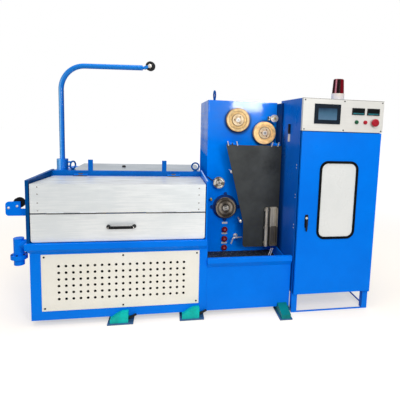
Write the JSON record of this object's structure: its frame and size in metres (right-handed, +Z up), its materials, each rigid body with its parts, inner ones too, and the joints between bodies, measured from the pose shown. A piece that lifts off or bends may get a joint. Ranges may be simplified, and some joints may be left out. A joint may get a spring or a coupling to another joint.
{
  "type": "wire drawing machine",
  "caption": "Wire drawing machine: lidded wet drawing tank on a vented base, tall take-up housing with pulleys and hanging guard, jib, and a control cabinet with beacon.",
  "frame": {"origin": "middle of the footprint's bounding box, on the floor", "axes": "+X along the machine from the wire entry to the control cabinet, -Y towards the operator, +Z up"},
  "size_m": [2.558, 1.56, 1.826],
  "materials": {
    "blue_paint": "glossy blue enamel",
    "cream_paint": "satin cream powder coat",
    "brushed_sheet": "brushed stainless sheet",
    "ground_steel": "ground steel",
    "turned_steel": "turned steel",
    "polished_steel": "polished",
    "gold_coating": "turned, ceramic coated rim",
    "bronze": "turned bronze",
    "bare_aluminium": "turned aluminium",
    "dark_iron": "blackened iron",
    "black_plastic": "moulded black",
    "guard_sheet": "dark grey sheet",
    "red_plastic": "moulded red",
    "green_plastic": "moulded green",
    "screen_plastic": "moulded dark grey",
    "beacon_lens": "tinted red lens",
    "cream_plastic": "moulded cream",
    "rubber": "black rubber",
    "pane": "frosted acrylic pane",
    "mount_paint": "green enamel",
    "mount_base": "blue enamel"
  },
  "bodies": {
    "machine": {"base_floor": "blue_paint", "base_front": "blue_paint", "base_sides": "blue_paint", "back_panels": "blue_paint", "vent_panel": "cream_paint", "tank_front_rail": "blue_paint", "tank_floor": "blue_paint", "tank_left_wall": "blue_paint", "tank_right_wall": "blue_paint", "tank_back_wall": "blue_paint", "tank_rear_bar": "blue_paint", "drawing_cones": "turned_steel", "gearbox_housing": "blue_paint", "gearbox_top_plate": "ground_steel", "lifting_eyes": "blue_paint", "jib_post": "blue_paint", "entry_bracket": "blue_paint", "drain_fitting": "blue_paint", "mount_plates": "mount_base", "mount_wedges": "mount_paint", "takeup_front": "blue_paint", "takeup_tray": "blue_paint", "tray_mat": "rubber", "takeup_housing": "blue_paint", "takeup_cheek": "blue_paint", "pulley_shafts": "turned_steel", "capstan_ring": "dark_iron", "guard_hinges": "polished_steel", "push_buttons": "red_plastic", "spray_tap": "polished_steel", "cabinet_sides": "blue_paint", "cabinet_back": "blue_paint", "cabinet_decks": "blue_paint", "cabinet_legs": "blue_paint", "cabinet_sills": "blue_paint", "control_panel": "brushed_sheet", "touch_screen": "screen_plastic", "panel_meters": "black_plastic", "start_button": "green_plastic", "stop_buttons": "red_plastic", "beacon_base": "cream_plastic", "beacon_dome": "beacon_lens"},
    "lid": {"tank_lid": "brushed_sheet"},
    "flap": {"tank_flap": "brushed_sheet", "flap_handle": "black_plastic"},
    "jib": {"jib_arm": "blue_paint"},
    "jib_wheel": {"jib_pulley": "dark_iron"},
    "entry_wheel": {"entry_pulley": "black_plastic"},
    "upper_wheel": {"tension_pulley_upper": "gold_coating"},
    "lower_wheel": {"tension_pulley_lower": "gold_coating"},
    "guide_wheel": {"guide_pulley": "bare_aluminium"},
    "outlet_wheel": {"outlet_pulley": "bare_aluminium"},
    "capstan": {"final_capstan": "bronze"},
    "guard": {"takeup_guard": "guard_sheet", "guard_latch": "polished_steel"},
    "door": {"cabinet_door": "blue_paint", "door_window": "pane", "window_gasket": "rubber", "door_handle": "polished_steel"}
  },
  "joints": [
    {"name": "lid_hinge", "type": "hinge", "parent": "machine", "child": "lid", "pos_m": [-0.5415, -0.135, 0.946], "axis": [-1, 0, 0], "range_deg": [0, 92]},
    {"name": "flap_hinge", "type": "hinge", "parent": "lid", "child": "flap", "pos_m": [-0.5415, -0.6535, 0.763], "axis": [-1, 0, 0], "range_deg": [0, 140]},
    {"name": "jib_swivel", "type": "hinge", "parent": "machine", "child": "jib", "pos_m": [-1.064, -0.028, 1.054], "axis": [0, 0, 1], "range_deg": [-90, 90]},
    {"name": "jib_wheel_spin", "type": "hinge", "parent": "jib", "child": "jib_wheel", "pos_m": [-0.38389, -0.18502, 1.79], "axis": [0.225, 0.9744, 0], "continuous": true},
    {"name": "entry_wheel_spin", "type": "hinge", "parent": "machine", "child": "entry_wheel", "pos_m": [-1.202, -0.554, 0.812], "axis": [0, 1, 0], "continuous": true},
    {"name": "upper_wheel_spin", "type": "hinge", "parent": "machine", "child": "upper_wheel", "pos_m": [0.31202, -0.177, 1.408], "axis": [0, 1, 0], "continuous": true},
    {"name": "lower_wheel_spin", "type": "hinge", "parent": "machine", "child": "lower_wheel", "pos_m": [0.53902, -0.177, 1.309], "axis": [0, 1, 0], "continuous": true},
    {"name": "guide_wheel_spin", "type": "hinge", "parent": "machine", "child": "guide_wheel", "pos_m": [0.61902, -0.177, 1.432], "axis": [0, 1, 0], "continuous": true},
    {"name": "outlet_wheel_spin", "type": "hinge", "parent": "machine", "child": "outlet_wheel", "pos_m": [0.17003, -0.177, 0.89], "axis": [0, 1, 0], "continuous": true},
    {"name": "capstan_spin", "type": "hinge", "parent": "machine", "child": "capstan", "pos_m": [0.23301, -0.177, 0.677], "axis": [0, 1, 0], "continuous": true},
    {"name": "guard_hinge", "type": "hinge", "parent": "machine", "child": "guard", "pos_m": [0.434, -0.267, 1.2176], "axis": [-1, 0, 0], "range_deg": [0, 80]},
    {"name": "door_hinge", "type": "hinge", "parent": "machine", "child": "door", "pos_m": [1.267, -0.698, 0.749], "axis": [0, 0, 1], "range_deg": [0, 110]}
  ]
}
